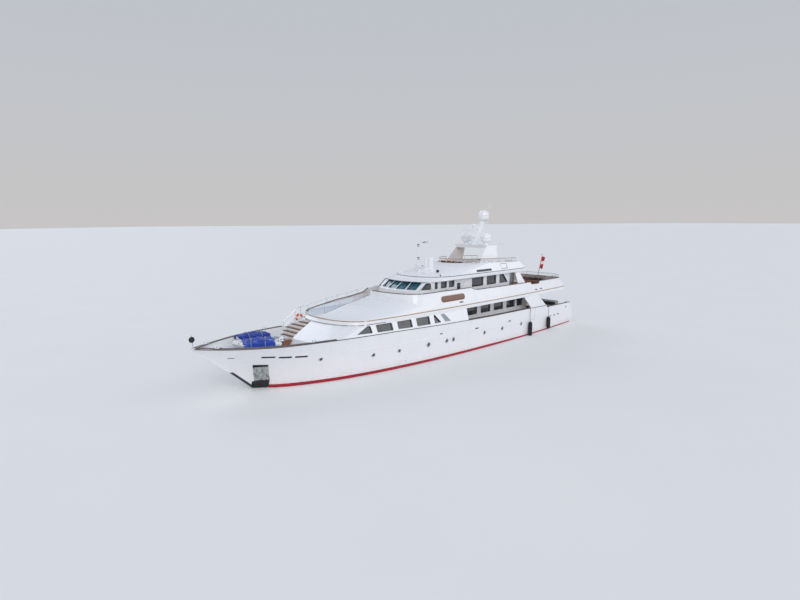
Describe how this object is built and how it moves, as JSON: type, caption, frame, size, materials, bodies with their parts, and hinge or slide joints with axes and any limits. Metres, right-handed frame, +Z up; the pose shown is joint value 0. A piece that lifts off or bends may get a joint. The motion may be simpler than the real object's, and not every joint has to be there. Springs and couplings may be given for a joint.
{
  "type": "motor yacht, 1:2 scale model",
  "caption": "Three-deck motor yacht afloat: raked bow, full-beam fore cabin, wheelhouse, sundeck, arch with domes, doors, rudders and propellers that move.",
  "frame": {"origin": "on the waterline plane and the centreline, 11.25 m aft of the stem head on the model", "axes": "+X to the bow, +Y to port, +Z up"},
  "size_m": [22.9725, 4.5304, 8.0322],
  "materials": {
    "white_paint": "gloss white yacht enamel on steel and aluminium plate",
    "dark_glass": "dark tinted glass",
    "stainless": "polished stainless steel",
    "bronze": "cast bronze",
    "black_rubber": "black fender rubber",
    "teak": "oiled teak",
    "blue_canvas": "woven acrylic cover cloth",
    "cream_cloth": "upholstery cloth",
    "flag_cloth": "woven polyester bunting",
    "engine_paint": "painted cast iron",
    "antifouling": "dark antifouling paint"
  },
  "bodies": {
    "yacht": {"hull": "white_paint", "main_deck": "teak", "bulwark": "white_paint", "swim_platform": "teak", "fore_house": "white_paint", "main_house": "white_paint", "upper_deck": "white_paint", "coach_roof": "white_paint", "upper_bulwark": "white_paint", "upper_house": "white_paint", "sundeck": "white_paint", "radar_arch": "white_paint", "fin_mast": "white_paint", "top_dome": "white_paint", "port_dome": "white_paint", "starboard_dome": "white_paint", "signal_mast": "white_paint", "flagstaff": "teak", "ensign": "flag_cloth", "jackstaff": "stainless", "fore_glass_port": "dark_glass", "fore_glass_starboard": "dark_glass", "wheelhouse_glass": "dark_glass", "lounge_glass_port": "dark_glass", "lounge_glass_starboard": "dark_glass", "main_glass": "dark_glass", "main_wing_port": "white_paint", "main_wing_starboard": "white_paint", "upper_wing_port": "white_paint", "upper_wing_starboard": "white_paint", "engine_port": "engine_paint", "engine_starboard": "engine_paint", "anchor_plate_port": "stainless", "anchor_plate_starboard": "stainless", "anchor": "stainless", "windlass_port": "stainless", "windlass_starboard": "stainless", "shaft_port": "bronze", "shaft_starboard": "bronze", "aft_stair": "teak", "boat_port": "blue_canvas", "boat_starboard": "blue_canvas", "boat_chocks": "teak", "fender_fore": "black_rubber", "fender_aft": "black_rubber", "aft_settee": "cream_cloth", "aft_table": "teak", "upper_table": "teak", "stern_rail": "stainless"},
    "transom_door": {"transom_door": "white_paint"},
    "saloon_door_port": {"saloon_door_port": "stainless"},
    "saloon_door_starboard": {"saloon_door_starboard": "stainless"},
    "lounge_door": {"lounge_door": "stainless"},
    "wing_door_port": {"wing_door_port": "white_paint"},
    "wing_door_starboard": {"wing_door_starboard": "white_paint"},
    "radar_scanner": {"radar_scanner": "white_paint"},
    "propeller_port": {"propeller_port": "bronze"},
    "propeller_starboard": {"propeller_starboard": "bronze"},
    "rudder_port": {"rudder_port": "antifouling"},
    "rudder_starboard": {"rudder_starboard": "antifouling"}
  },
  "joints": [
    {"name": "transom_door_hinge", "type": "hinge", "parent": "yacht", "child": "transom_door", "pos_m": [-10.81115, 0, 0.98606], "axis": [0, 1, 0], "range_deg": [0, 80]},
    {"name": "saloon_door_port_slide", "type": "slide", "parent": "yacht", "child": "saloon_door_port", "axis": [0, 1, 0], "range_m": [0, 0.43]},
    {"name": "saloon_door_starboard_slide", "type": "slide", "parent": "yacht", "child": "saloon_door_starboard", "axis": [0, -1, 0], "range_m": [0, 0.43]},
    {"name": "lounge_door_slide", "type": "slide", "parent": "yacht", "child": "lounge_door", "axis": [0, 1, 0], "range_m": [0, 0.475]},
    {"name": "wing_door_port_hinge", "type": "hinge", "parent": "yacht", "child": "wing_door_port", "pos_m": [-1.24895, 1.427, 2.75], "axis": [0, 0, 1], "range_deg": [0, 100]},
    {"name": "wing_door_starboard_hinge", "type": "hinge", "parent": "yacht", "child": "wing_door_starboard", "pos_m": [-1.24895, -1.427, 2.75], "axis": [0, 0, -1], "range_deg": [0, 100]},
    {"name": "scanner_spin", "type": "hinge", "parent": "yacht", "child": "radar_scanner", "pos_m": [-3.525, 0, 5.5], "axis": [0, 0, 1], "continuous": true},
    {"name": "propeller_port_spin", "type": "hinge", "parent": "yacht", "child": "propeller_port", "pos_m": [-8.6701, 0.875, -0.8561], "axis": [0.9974, 0, 0.0715], "continuous": true},
    {"name": "propeller_starboard_spin", "type": "hinge", "parent": "yacht", "child": "propeller_starboard", "pos_m": [-8.6701, -0.875, -0.8561], "axis": [0.9974, 0, 0.0715], "continuous": true},
    {"name": "rudder_port_turn", "type": "hinge", "parent": "yacht", "child": "rudder_port", "pos_m": [-9.325, 0.875, -0.5], "axis": [0, 0, 1], "range_deg": [-35, 35]},
    {"name": "rudder_starboard_turn", "type": "hinge", "parent": "yacht", "child": "rudder_starboard", "pos_m": [-9.325, -0.875, -0.5], "axis": [0, 0, 1], "range_deg": [-35, 35]}
  ]
}
